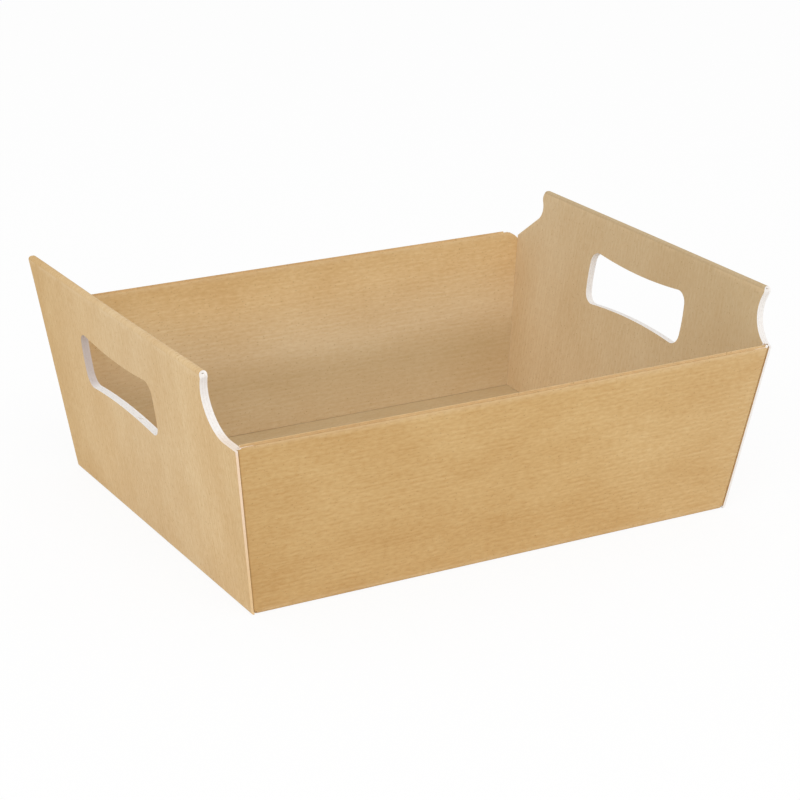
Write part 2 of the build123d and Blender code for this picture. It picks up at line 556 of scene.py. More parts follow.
@dataclass(frozen=True)
class HandHole:
    """Bow-tie hand hole, in mm along and up an end."""

    shift: float
    centre_rise: float
    width: float = 95.0
    end_height: float = 33.5
    sag: float = 3.0
    bulge: float = 1.5
    corner: float = 7.0

    EDGE_POINTS = (25, 9)
    CORNER_POINTS = 9
    CORNER_PULL = 0.55

    def edge(self, side: int, t: float) -> Vector:
        """Point on a bowed edge, from -1 to 1 along it; edges run clockwise from the top.

        Args:
            side: Number of the edge, 0 for the top.
            t: Share of the half edge, from its middle.

        Returns:
            The point along and up the end.
        """
        half, tall, bowed = self.width / 2, self.end_height / 2, 1 - t * t
        spots = (
            (half * t, tall - self.sag * bowed),
            (half + self.bulge * bowed, -tall * t),
            (-half * t, self.sag * bowed - tall),
            (-half - self.bulge * bowed, tall * t),
        )
        return Vector(spots[side]) + Vector((self.shift, self.centre_rise))

    def outline(self) -> list[Point2]:
        """Closed outline with rounded corners, clockwise from the top edge.

        Returns:
            Points along and up the end.
        """
        loop: list[Point2] = []
        cuts = [1 - 2 * self.corner / length for length in (self.width, self.end_height)]
        for side in range(4):
            cut, next_cut = cuts[side % 2], cuts[1 - side % 2]
            steps = np.linspace(-cut, cut, self.EDGE_POINTS[side % 2])
            loop += [tuple(self.edge(side, t)) for t in steps]
            start, tip = self.edge(side, cut), self.edge(side, 1)
            end = self.edge((side + 1) % 4, -next_cut)
            pulls = [spot.lerp(tip, self.CORNER_PULL) for spot in (start, end)]
            turn = interpolate_bezier(start, *pulls, end, self.CORNER_POINTS)
            loop += [tuple(spot) for spot in turn[1:-1]]
        return loop


@dataclass(frozen=True)
class HandleEdge:
    """Standing edge of an end: up the corner line, round a scoop and over a rounded ear.

    An edge with no scoop inset runs straight up the corner line to the top.
    """

    form: BasketForm
    rim_rise: float
    top_rise: float
    inset: float | None
    ear: float
    radius: float = 20.0
    drop: float = 2.6

    SCOOP_POINTS = 34
    EAR_POINTS = 8
    TOP_CLEAR = 0.05

    @property
    def foot(self) -> float:
        """Lowest rise of the scoop."""
        return self.rim_rise - self.drop

    @property
    def centre(self) -> Point2:
        """Centre of the scoop."""
        return (self.form.half_width(self.form.rim_height) - self.inset, self.foot + self.radius)

    @property
    def ear_centre(self) -> Point2:
        """Centre of the ear's rounding.

        Returns:
            Its place along and up the end.
        """
        u, v = self.centre
        rise = self.top_rise + self.form.board.gap - self.ear
        return (u - sqrt((self.radius + self.ear) ** 2 - (rise - v) ** 2), rise)

    @property
    def touch(self) -> float:
        """Rise at which the scoop runs over into the ear."""
        v, ev = self.centre[1], self.ear_centre[1]
        return v + (ev - v) * self.radius / (self.radius + self.ear)

    def reach(self, rise: float, limit: Limit) -> float:
        """Half length of the end at a rise above the scoop's middle.

        Args:
            rise: Length up the slope.
            limit: Half width of the ply at a rise.

        Returns:
            The half length.
        """
        if self.inset is None:
            return limit(rise)
        u, v = self.centre
        eu, ev = self.ear_centre
        if rise < self.touch:
            return u - sqrt(self.radius**2 - (rise - v) ** 2)
        return eu + sqrt(max(self.ear**2 - (rise - ev) ** 2, 0.0))

    def joint(self, limit: Limit) -> float:
        """Angle round the scoop, from straight down, at which it leaves the corner line.

        Args:
            limit: Half width of the ply at a rise.

        Returns:
            The angle in radians.
        """
        u, v = self.centre
        angle = 0.0
        for _ in range(SETTLE_STEPS):
            corner = limit(v - self.radius * cos(angle))
            angle = asin(max(0.0, (u - corner) / self.radius))
        return angle

    def meet(self, limit: Limit) -> float:
        """Rise at which the corner line stops being a fold or an edge of full height.

        Args:
            limit: Half width of the ply at a rise.

        Returns:
            The rise.
        """
        if self.inset is None:
            return self.foot
        return self.centre[1] - self.radius * cos(self.joint(limit))

    def points(self, limit: Limit, low: float, top: float) -> list[Point2]:
        """Walk up the edge on the positive side.

        Args:
            limit: Half width of the ply at a rise.
            low: Rise to start at.
            top: Rise to stop at.

        Returns:
            Points along and up.
        """
        if self.inset is None:
            return slanted_edge(limit, low, top)
        u, v = self.centre
        eu, ev = self.ear_centre
        path = slanted_edge(limit, low, self.meet(limit))
        angles = np.linspace(self.joint(limit), pi / 2 + atan2(ev - v, u - eu), self.SCOOP_POINTS)
        path += [(u - self.radius * sin(a), v - self.radius * cos(a)) for a in angles]
        path = [p for p in path if p[1] < top - self.TOP_CLEAR]
        rises = np.linspace(self.touch, top, self.EAR_POINTS)[1:] if top > self.touch else [top]
        return path + [(self.reach(r, limit), r) for r in rises]


@dataclass(frozen=True)
class ClimbingEdge(HandleEdge):
    """Standing edge that climbs straight from the corner line, then turns up round a scoop."""

    climb: float = 38.0

    @property
    def centre(self) -> Point2:
        """Centre of the scoop.

        Returns:
            Its place along and up the end.
        """
        rim = self.form.half_width(self.form.rim_height)
        slope, u = radians(self.climb), rim - self.inset
        run = rim - self.form.board.side_pack - u + self.radius * sin(slope)
        return (u, self.foot + self.radius * cos(slope) + run * tan(slope))

    def joint(self, limit: Limit) -> float:
        """Angle round the scoop, from straight down, at which the climb runs into it."""
        return radians(self.climb)

    def meet(self, limit: Limit) -> float:
        """Rise at which the climb leaves the corner line.

        Args:
            limit: Half width of the ply at a rise.

        Returns:
            The rise.
        """
        u, v = self.centre
        slope, rise = radians(self.climb), self.foot
        for _ in range(SETTLE_STEPS):
            run = limit(rise) - u + self.radius * sin(slope)
            rise = v - self.radius * cos(slope) - run * tan(slope)
        return rise


@dataclass
class DoubleWall:
    """A wall of two plies joined by a half turn over its rim."""

    form: BasketForm
    plane: WallPlane
    bow: float
    tone: float = 0.0
    # Tones of the inner ply at its foot, a third up and at its rim: painted shade.
    inner_tones: Triple = (0.0, 0.0, 0.0)
    # How far the tone drops towards the sides: a painted sheen, palest in the middle.
    sheen_falloff: float = 0.0
    # Change of tone along the wall: a painted light gradient.
    slant: float = 0.0
    base_edge: list[float] = field(default_factory=list)

    SHARES = tuple(np.linspace(-1, 1, 45))
    BEND_STEPS = 18
    SQUARE = 0.7
    FOLD_STEPS = 7
    # Lightening of the base crease: partly crease wear, partly painted highlight.
    FOLD_RUB_AND_HIGHLIGHT = 0.3

    @property
    def board(self) -> Board:
        """The sheet that the wall is made of."""
        return self.form.board

    def bow_at(self, along: float, rise: float) -> Vector:
        """How far the wall stands out at a place, as a vector in mm.

        Args:
            along: Place along the wall.
            rise: Length up the slope.

        Returns:
            The shift from the flat wall.
        """
        across = 1 - min(1.0, abs(along) / self.half_span(rise)) ** 2
        up = sin(pi / 2 * min(1.0, max(0.0, rise) / self.plane.rise))
        return self.plane.outward() * (self.bow * across**2 * up)

    def half_span(self, rise: float) -> float:
        """Half length of the wall's outer ply at a rise."""
        raise NotImplementedError

    def look(self, inner: bool, creases: tuple[float, ...]) -> PatchLook:
        """Look of a ply, whose tone may change up the inner one as painted shade.

        Args:
            inner: Whether it is the inner ply, with tones of painted shade at its foot, a third up
                and at its rim.
            creases: Rises at which it is creased.

        Returns:
            The look.
        """
        shades = self.inner_tones if inner else (self.tone,) * 3
        tones = tuple(zip((0.0, self.plane.rise / 3, self.plane.rise), shades))
        half = self.half_span(self.plane.rise)
        sheen_falloff = 0.0 if inner else self.sheen_falloff
        return PatchLook(self.bow_at, float(inner), creases, tones, sheen_falloff, self.slant, half)

    def add_base_fold(self, sheet: SheetMesh) -> None:
        """Bend the sheet from the base up into the outer ply.

        Args:
            sheet: Sheet that takes it.
        """
        plane, radius = self.plane, self.board.fold_middle
        turns = np.linspace(0, plane.fold_turn, self.FOLD_STEPS)
        rows, flats, facings = [], [], []
        for turn in turns:
            run = plane.fold_centre + radius * sin(turn)
            z = self.board.fold_radius - radius * cos(turn)
            rows.append([plane.turned(u, run, z) for u in self.base_edge])
            length = plane.fold_rise - radius * (plane.fold_turn - turn)
            flats.append([plane.flat(u, length) for u in self.base_edge])
            facings.append(plane.turned(0.0, sin(turn), -cos(turn)))
        still = [[Vector()] * len(self.base_edge) for _ in turns]
        look = self.look(False, ())
        marks = [[(0.0, PAINTED_SHADE_TONE, 1.0) for _ in self.base_edge]]
        bent = [(self.FOLD_RUB_AND_HIGHLIGHT, look.tone_at(u, 0.0), 0.0) for u in self.base_edge]
        marks += [bent] * (len(turns) - 1)
        sheet.add_strip(rows, flats, facings, still, marks)

    def spread(self, angle: float) -> list[float]:
        """Places along the rim at an angle of its half turn."""
        reach = self.rim_reach(angle)
        return [share * reach[int(share > 0)] for share in self.SHARES]

    def crown(self, angle: float) -> list[Point2]:
        """Points along an end of the rim's bend, from its back or right end to the other."""
        return [(u, self.plane.bend_rise) for u in reversed(self.spread(angle)[1:-1])]

    def rim_reach(self, angle: float) -> Point2:
        """Half lengths of the rim's bend on its two sides, at an angle of its half turn."""
        raise NotImplementedError

    def add_rim_bend(self, sheet: SheetMesh) -> None:
        """Bend the sheet over the rim.

        Args:
            sheet: Sheet that takes it.
        """
        plane = self.plane
        radius = plane.bend - self.board.thickness / 2
        outer, inner = self.look(False, ()), self.look(True, ())
        rows, flats, facings, bows, marks = [], [], [], [], []
        for angle in np.linspace(0, pi, self.BEND_STEPS):
            lift = sin(angle) ** self.SQUARE if 0 < angle < pi else 0.0
            rise = plane.bend_rise + radius * lift
            out = radius * np.sign(cos(angle)) * abs(cos(angle)) ** self.SQUARE - plane.bend
            spread = self.spread(angle)
            rows.append([plane.at(u, rise, out) for u in spread])
            flats.append([plane.flat(u, plane.bend_rise + radius * angle) for u in spread])
            facings.append(plane.outward() * cos(angle) + plane.upward() * sin(angle))
            bows.append([self.bow_at(u, plane.bend_rise) for u in spread])
            starts = [outer.tone_at(u, plane.rise) for u in spread]
            ends = [inner.tone_at(u, plane.bend_rise) for u in spread]
            marks.append([self.rim_marks(angle / pi, pair) for pair in zip(starts, ends)])
        sheet.add_strip(rows, flats, facings, bows, marks)

    def rim_marks(self, turn: float, tones: Point2) -> Marks:
        """Marks at a share of the rim's half turn, between the tones of the two plies, creased all
        round: crease wear and a painted highlight.
        """
        return (1.0, (1 - turn) * tones[0] + turn * tones[1], turn)

    def inner_length(self, rise: float) -> float:
        """Length in the blank, from the base edge, of a rise on the inner ply."""
        turn = pi * (self.plane.bend - self.board.thickness / 2)
        return 2 * self.plane.bend_rise + turn - rise

    def add_ply(
        self,
        sheet: SheetMesh,
        outline: list[Point2],
        holes: list[list[Point2]],
        out: float,
        inner: bool,
        creases: tuple[float, ...],
    ) -> None:
        """Add one flat ply of the wall.

        Args:
            sheet: Sheet that takes the ply.
            outline: Outline along and up.
            holes: Holes in it.
            out: Offset of the sheet's middle from the wall's outer face.
            inner: Whether it is the inner ply, which faces the other way.
            creases: Rises at which it is creased.
        """
        plane = self.plane
        facing = plane.outward() * (-1 if inner else 1)
        sheet.add_panel(
            outline,
            holes,
            lambda u, v: plane.at(u, v, out),
            lambda u, v: plane.flat(u, self.inner_length(v) if inner else v),
            facing,
            self.look(inner, creases),
        )


def closed_outline(
    bottom: list[Point2], right: list[Point2], top: list[Point2], left: list[Point2]
) -> list[Point2]:
    """Close an outline from its four sides.

    Args:
        bottom: Points along the bottom, from left to right.
        right: Points up the right side.
        top: Points along the top, from right to left.
        left: Points up the left side, given on the positive side.

    Returns:
        The closed outline without doubled points.
    """
    loop = bottom + right + top + [(-u, v) for u, v in reversed(left)]
    pairs = zip(loop, loop[-1:] + loop[:-1])
    return [p for p, last in pairs if hypot(p[0] - last[0], p[1] - last[1]) > SAME_POINT]


@dataclass
class EndWall(DoubleWall):
    """End with a hand hole: outer ply, rolled top, inner ply and lock tabs."""

    hole: HandHole | None = None
    front: HandleEdge | None = None
    back: HandleEdge | None = None
    droop: float = 0.0
    # Share of the rolled top's turn at which its painted shade sets in.
    roll_turn: float = 0.4
    tab_width: float = 34.0
    tab_pitch: float = 118.0
    tab_recess: float = 0.2

    ROLL_SHADE_BLEND = 0.1

    def rim_marks(self, turn: float, tones: Point2) -> Marks:
        """Marks at a share of the rolled top's turn: pale outside, then darkened with painted
        shade that evens out the light falling on the top, with no pale crease line.

        Args:
            turn: Share of the half turn, from outside.
            tones: Tones of the outer and the inner ply.

        Returns:
            Crease, tone and inside marks.
        """
        last = 1 - self.ROLL_SHADE_BLEND
        turns = (self.roll_turn - self.ROLL_SHADE_BLEND, self.roll_turn + self.ROLL_SHADE_BLEND, last, 1.0)
        tone = np.interp(turn, turns, (tones[0], PAINTED_SHADE_TONE, PAINTED_SHADE_TONE, tones[1]))
        return (0.0, float(tone), float(np.interp(turn, (last, 1.0), (0.0, 1.0))))

    def bow_at(self, along: float, rise: float) -> Vector:
        """How far the end stands out at a place, with its top drooping towards the back.

        Args:
            along: Place along the wall.
            rise: Length up the slope.

        Returns:
            The shift from the flat end, in mm.
        """
        rim = self.front.rim_rise
        share = max(0.0, (rise - rim) / (self.plane.bend_rise - rim))
        back = min(1.0, max(0.0, along / self.half_span(rise) / 2 + 0.5))
        return super().bow_at(along, rise) - self.plane.upward() * (self.droop * back * share**2)

    def half_span(self, rise: float) -> float:
        """Half width of the outer ply at a rise."""
        return self.form.half_width(self.plane.height_at(rise, 0))

    def outer_limit(self, rise: float) -> float:
        """Half width of the outer ply's middle at a rise."""
        return self.form.half_width(self.plane.height_at(rise, -self.board.thickness / 2))

    def inner_limit(self, rise: float) -> float:
        """Half width of the inner ply's middle at a rise, clear of the long walls."""
        out = self.board.thickness / 2 - self.plane.pack
        inset = self.board.side_pack + self.board.gap
        return self.form.half_width(self.plane.height_at(rise, out), inset)

    def rim_reach(self, angle: float) -> Point2:
        """Half lengths of the rolled top to the front and to the back.

        Args:
            angle: Angle of its half turn.

        Returns:
            The two half lengths.
        """
        rise = self.plane.bend_rise + (self.plane.bend - self.board.thickness / 2) * sin(angle)
        share = angle / pi
        corner = self.outer_limit(rise) * (1 - share) + self.inner_limit(rise) * share
        return (self.front.reach(rise, lambda r: corner), self.back.reach(rise, lambda r: corner))

    def build(self, sheet: SheetMesh) -> None:
        """Add the whole end to the sheet.

        Args:
            sheet: Sheet that takes it.
        """
        board, plane = self.board, self.plane
        self.add_base_fold(sheet)
        low, top = plane.fold_rise, plane.bend_rise
        outline = closed_outline(
            [(u, low) for u in self.base_edge],
            self.back.points(self.outer_limit, low, top)[1:],
            self.crown(0),
            self.front.points(self.outer_limit, low, top)[1:],
        )
        hole = [self.hole.outline()]
        self.add_ply(sheet, outline, hole, -board.thickness / 2, False, (low, top))
        self.add_rim_bend(sheet)
        low = plane.rise_at(board.thickness + board.gap / 2, board.thickness - plane.pack)
        outline = closed_outline(
            self.tab_edge(low),
            self.back.points(self.inner_limit, low, top),
            self.crown(pi),
            self.front.points(self.inner_limit, low, top),
        )
        self.add_ply(sheet, outline, hole, board.thickness / 2 - plane.pack, True, (top,))

    def tab_edge(self, low: float) -> list[Point2]:
        """Bottom edge of the inner ply with its two lock tabs, from left to right.

        Args:
            low: Rise of the edge between the tabs.

        Returns:
            Points along and up the end.
        """
        tip = self.plane.rise_at(self.tab_recess, self.board.thickness - self.plane.pack)
        edge = []
        for centre in (-self.tab_pitch / 2, self.tab_pitch / 2):
            left, right = centre - self.tab_width / 2, centre + self.tab_width / 2
            edge += [(left, low), (left, tip), (right, tip), (right, low)]
        return edge


@dataclass
class LongWall(DoubleWall):
    """Long wall: outer ply, rolled rim with rounded ends, inner ply."""

    round_radius: float = 14.0
    round_overrun: float = 3.0

    HALVINGS = 40
    ROUND_POINTS = 9

    def half_span(self, rise: float) -> float:
        """Half length of the outer ply at a rise."""
        return self.form.half_length(self.plane.height_at(rise, 0))

    def outer_limit(self, rise: float) -> float:
        """Half length of the outer ply up to where the sheet starts to turn the corner."""
        inset = self.board.flap_inset + self.board.fold_radius
        return self.form.half_length(self.plane.height_at(rise, -self.board.thickness / 2), inset)

    def inner_limit(self, rise: float) -> float:
        """Half length of the inner ply, clear of the captive flaps.

        Args:
            rise: Length up the slope.

        Returns:
            The half length.
        """
        out = self.board.thickness / 2 - self.plane.pack
        inset = self.board.flap_inset + self.board.thickness + self.board.gap
        return self.form.half_length(self.plane.height_at(rise, out), inset)

    def rim_reach(self, angle: float) -> Point2:
        """Half lengths of the rim, rounded at its ends, at an angle of its half turn.

        Args:
            angle: Angle of its half turn.

        Returns:
            The half length, for each side.
        """
        top, share = self.plane.bend_rise, angle / pi
        plain = self.outer_limit(top) * (1 - share) + self.inner_limit(top) * share
        reach = min(plain, self.rounded(top + self.plane.bend * sin(angle)))
        return (reach, reach)

    def rounded(self, rise: float) -> float:
        """Half length of the rounded rim at a rise.

        Args:
            rise: Length up the slope.

        Returns:
            The half length.
        """
        run = self.form.half_length(self.form.rim_height) + self.round_overrun - self.round_radius
        level = self.plane.rise + self.board.gap - self.round_radius
        return run + sqrt(max(self.round_radius**2 - max(rise - level, 0.0) ** 2, 0.0))

    def round_foot(self, limit: Limit) -> float:
        """Rise at which the rounding leaves the end of a ply, or the start of the roll.

        Args:
            limit: Half width of the ply at a rise.

        Returns:
            The rise.
        """
        low, high = self.plane.bend_rise - self.round_radius, self.plane.bend_rise
        if self.rounded(high) >= limit(high):
            return high
        for _ in range(self.HALVINGS):
            middle = (low + high) / 2
            clear = self.rounded(middle) > limit(middle)
            low, high = (middle, high) if clear else (low, middle)
        return high

    def round_edge(self, limit: Limit) -> list[Point2]:
        """Points of the rounding on a ply, above where it leaves the ply's end.

        Args:
            limit: Half width of the ply at a rise.

        Returns:
            Points along and up, none where the rounding is all in the roll.
        """
        foot, top = self.round_foot(limit), self.plane.bend_rise
        if foot == top:
            return []
        return [(self.rounded(r), r) for r in np.linspace(foot, top, self.ROUND_POINTS)[1:]]

    def build(self, sheet: SheetMesh, corner: list[Point2]) -> None:
        """Add the whole long wall to the sheet.

        Args:
            sheet: Sheet that takes it.
            corner: Points up the line where the sheet starts to turn the corner.
        """
        board, plane = self.board, self.plane
        self.add_base_fold(sheet)
        low, top = plane.fold_rise, plane.bend_rise
        bottom = [(u, low) for u in self.base_edge]
        side = corner + self.round_edge(self.outer_limit)
        outline = closed_outline(bottom, side, self.crown(0), side)
        self.add_ply(sheet, outline, [], -board.thickness / 2, False, (low, top))
        self.add_rim_bend(sheet)
        low = plane.rise_at(board.thickness + board.gap / 2, board.thickness - plane.pack)
        side = slanted_edge(self.inner_limit, low, self.round_foot(self.inner_limit))
        side += self.round_edge(self.inner_limit)
        outline = closed_outline([(-side[0][0], low)], side, self.crown(pi), side)
        self.add_ply(sheet, outline, [], board.thickness / 2 - plane.pack, True, (top,))


@dataclass
class CornerFlap:
    """Bend round a corner and the flap held between the plies of an end."""

    form: BasketForm
    end: EndWall
    side: LongWall
    meet_gap: float = 0.3
    foot_angle: float = 25.0
    foot_relief: float = 1.9
    roll_tuck: float = 0.45
    hole_clear: float = 1.0

    ROWS = 15
    TURNS = 8

    def axis(self, z: float) -> Vector:
        """Point on the corner bend's axis at a height.

        Args:
            z: Height.

        Returns:
            The point, in mm.
        """
        board = self.form.board
        x = self.form.half_length(z, board.flap_inset + board.fold_radius)
        y = self.form.half_width(z, board.fold_radius)
        return Vector((self.end.plane.side * x, self.side.plane.side * y, z))

    def direction(self, share: float) -> Vector:
        """Outward direction of the bend, from the long wall's to the end's.

        Args:
            share: Share of the bend's turn.

        Returns:
            Unit vector.
        """
        a, b = self.side.plane.outward(), self.end.plane.outward()
        whole = acos(a.dot(b))
        return (a * sin((1 - share) * whole) + b * sin(share * whole)) / sin(whole)

    @property
    def edge(self) -> HandleEdge:
        """Standing edge of the end at this corner."""
        return self.end.front if self.side.plane.side < 0 else self.end.back

    @property
    def depth(self) -> float:
        """Offset of the flap's middle from the end's outer face."""
        return -self.form.board.flap_inset - self.form.board.thickness / 2

    def hinge_limit(self, rise: float) -> float:
        """Half width at which the flap leaves the corner bend."""
        height = self.end.plane.height_at(rise, self.depth)
        return self.form.half_width(height, self.form.board.fold_radius)

    def heights(self, share: float) -> list[float]:
        """Heights of the axis points for the rows of the bend.

        Args:
            share: Share of the bend's turn.

        Returns:
            The heights, from the foot up.
        """
        board, radius = self.form.board, self.form.board.fold_middle
        side, end = self.side.plane, self.end.plane
        rise = self.side.round_foot(self.side.outer_limit)
        wall = side.height_at(rise, -board.thickness / 2) + radius * sin(side.slope)
        rise = self.edge.meet(self.hinge_limit)
        flap = end.height_at(rise, self.depth) + radius * sin(end.slope)
        return list(np.linspace(self.foot_relief, wall + (flap - wall) * share, self.ROWS))

    def bend_row(self, share: float) -> list[Vector]:
        """Points up the bend at one share of its turn.

        Args:
            share: Share of the bend's turn.

        Returns:
            The points.
        """
        a, b = self.side.plane.outward(), self.end.plane.outward()
        whole = acos(a.dot(b))
        onward = (b * cos(share * whole) - a * cos((1 - share) * whole)) / sin(whole)
        reach = self.direction(share) * self.form.board.fold_middle
        bellies = [BELLY * (1 - t * t) * (1 - 2 * share) for t in np.linspace(-1, 1, self.ROWS)]
        pairs = zip(self.heights(share), bellies)
        return [self.axis(z) + reach + onward * belly for z, belly in pairs]

    def wall_edge(self) -> list[Point2]:
        """Points along and up the long wall where the bend starts."""
        plane, half = self.side.plane, self.form.board.thickness / 2
        return [(abs(p.x), plane.rise_at(p.z, -half)) for p in self.bend_row(0.0)]

    def build(self, sheet: SheetMesh) -> None:
        """Add the bend and its flap to the sheet.

        Args:
            sheet: Sheet that takes it.
        """
        shares = np.linspace(0, 1, self.TURNS)
        rows = [self.bend_row(share) for share in shares]
        turn = self.form.board.fold_middle * pi / 2
        wall, side = self.side.plane, self.end.plane.side
        flats = []
        for share, row in zip(shares, rows):
            reaches = [side * (abs(start.x) + turn * share) for start in rows[0]]
            flats.append([wall.flat(u, wall.rise_at(p.z, 0)) for u, p in zip(reaches, row)])
        still = [[Vector()] * self.ROWS for _ in shares]
        # Tone of the long wall at this end, with its painted light gradient.
        tone = self.side.tone + self.side.slant * side
        marks = [[(0.0, tone, 0.0)] * self.ROWS for _ in shares]
        sheet.add_strip(rows, flats, [self.direction(s) for s in shares], still, marks)
        self.add_flap(sheet, rows[-1])

    def add_flap(self, sheet: SheetMesh, hinge: list[Vector]) -> None:
        """Add the captive flap beyond the bend.

        Args:
            sheet: Sheet that takes it.
            hinge: Points up the end of the bend.
        """
        plane, out = self.end.plane, self.depth
        sign, meet = self.side.plane.side, self.meet_gap / 2
        top = plane.bend_rise + self.roll_tuck
        run = self.form.half_width(0) - meet
        foot = self.foot_relief + run * tan(radians(self.foot_angle))
        line = [(abs(p.y), plane.rise_at(p.z, out)) for p in hinge]
        free = self.edge.points(self.hinge_limit, line[-1][1], top)
        hole = [(sign * u, v) for u, v in self.end.hole.outline()]
        hole = [(u, v) for u, v in hole if u > meet + self.hole_clear]
        middle = self.end.hole.centre_rise
        ordered = sorted(hole, key=lambda p: -atan2(p[1] - middle, p[0] - meet))
        upper, lower = ordered[0][1], ordered[-1][1]
        seam = [(meet, top), (meet, upper), *ordered, (meet, lower)]
        loop = [(meet, foot), *line, *free[1:], *seam]
        sheet.add_panel(
            [(sign * u, v) for u, v in loop],
            [],
            lambda u, v: plane.at(u, v, out),
            lambda u, v: plane.flat(u, v),
            plane.outward(),
            PatchLook(self.end.bow_at),
        )


@dataclass
class BasePanel:
    """Flat base with slots for the lock tabs."""

    form: BasketForm
    end: EndWall
    end_edge: list[float]
    side_edge: list[float]

    def slots(self) -> list[list[Point2]]:
        """Outlines of the four slots.

        Returns:
            Closed outlines in the base's plane.
        """
        board, plane = self.form.board, self.end.plane
        faces = (-plane.pack, board.thickness - plane.pack)
        reaches = [abs(plane.at(0, plane.rise_at(board.thickness, out), out).x) for out in faces]
        low, high = min(reaches) - board.gap, max(reaches) + board.gap
        half = self.end.tab_width / 2 + board.gap
        boxes = []
        for side in (-1, 1):
            for centre in (-self.end.tab_pitch / 2, self.end.tab_pitch / 2):
                x = sorted((side * low, side * high))
                y = (centre - half, centre + half)
                boxes.append([(x[0], y[0]), (x[1], y[0]), (x[1], y[1]), (x[0], y[1])])
        return boxes

    def build(self, sheet: SheetMesh, length: float, width: float) -> None:
        """Add the base to the sheet.

        Args:
            sheet: Sheet that takes it.
            length: Half length up to the creases.
            width: Half width up to the creases.
        """
        bottom = [(x, -width) for x in self.side_edge]
        right = [(length, y) for y in self.end_edge]
        top = [(x, width) for x in reversed(self.side_edge)]
        left = [(-length, y) for y in reversed(self.end_edge)]
        middle = self.form.board.thickness / 2
        sheet.add_panel(
            bottom + right + top + left,
            self.slots(),
            lambda u, v: Vector((u, v, middle)),
            lambda u, v: (u, v),
            Vector((0, 0, -1)),
            PatchLook(lambda u, v: Vector(), inside=1.0, tones=((0.0, PAINTED_SHADE_TONE),)),
        )


class GrainKind(Enum):
    """How one scale of the grain is drawn."""

    FIBRE = "ShaderNodeTexNoise"
    RIB = "ShaderNodeTexWave"


@dataclass(frozen=True)
class GrainLayer:
    """One scale of the grain: cell size in mm, detail, how far it darkens and lightens."""

    length: float
    width: float
    detail: float
    dark: float
    light: float
    kind: GrainKind = GrainKind.FIBRE


def matt_surface(
    tree: bpy.types.NodeTree,
    colour: bpy.types.NodeSocket,
    height: bpy.types.NodeSocket,
    finish: "KraftLiner | BoardCore",
) -> None:
    """Close a paper's tree with its matt, slightly rough surface.

    Args:
        tree: Tree that takes the nodes.
        colour: Colour of the paper.
        height: Height of its fibres.
        finish: Finish that holds its roughness, specular level and relief.
    """
    inputs = {"Height": height, "Strength": finish.bump_strength, "Distance": finish.bump_mm * MM}
    bump = add_node(tree, "ShaderNodeBump", inputs)
    inputs = {
        "Base Color": colour,
        "Roughness": finish.roughness,
        "Normal": bump.outputs["Normal"],
        "Specular IOR Level": finish.specular,
    }
    shader = add_node(tree, "ShaderNodeBsdfPrincipled", inputs)
    add_node(tree, "ShaderNodeOutputMaterial", {"Surface": shader.outputs["BSDF"]})


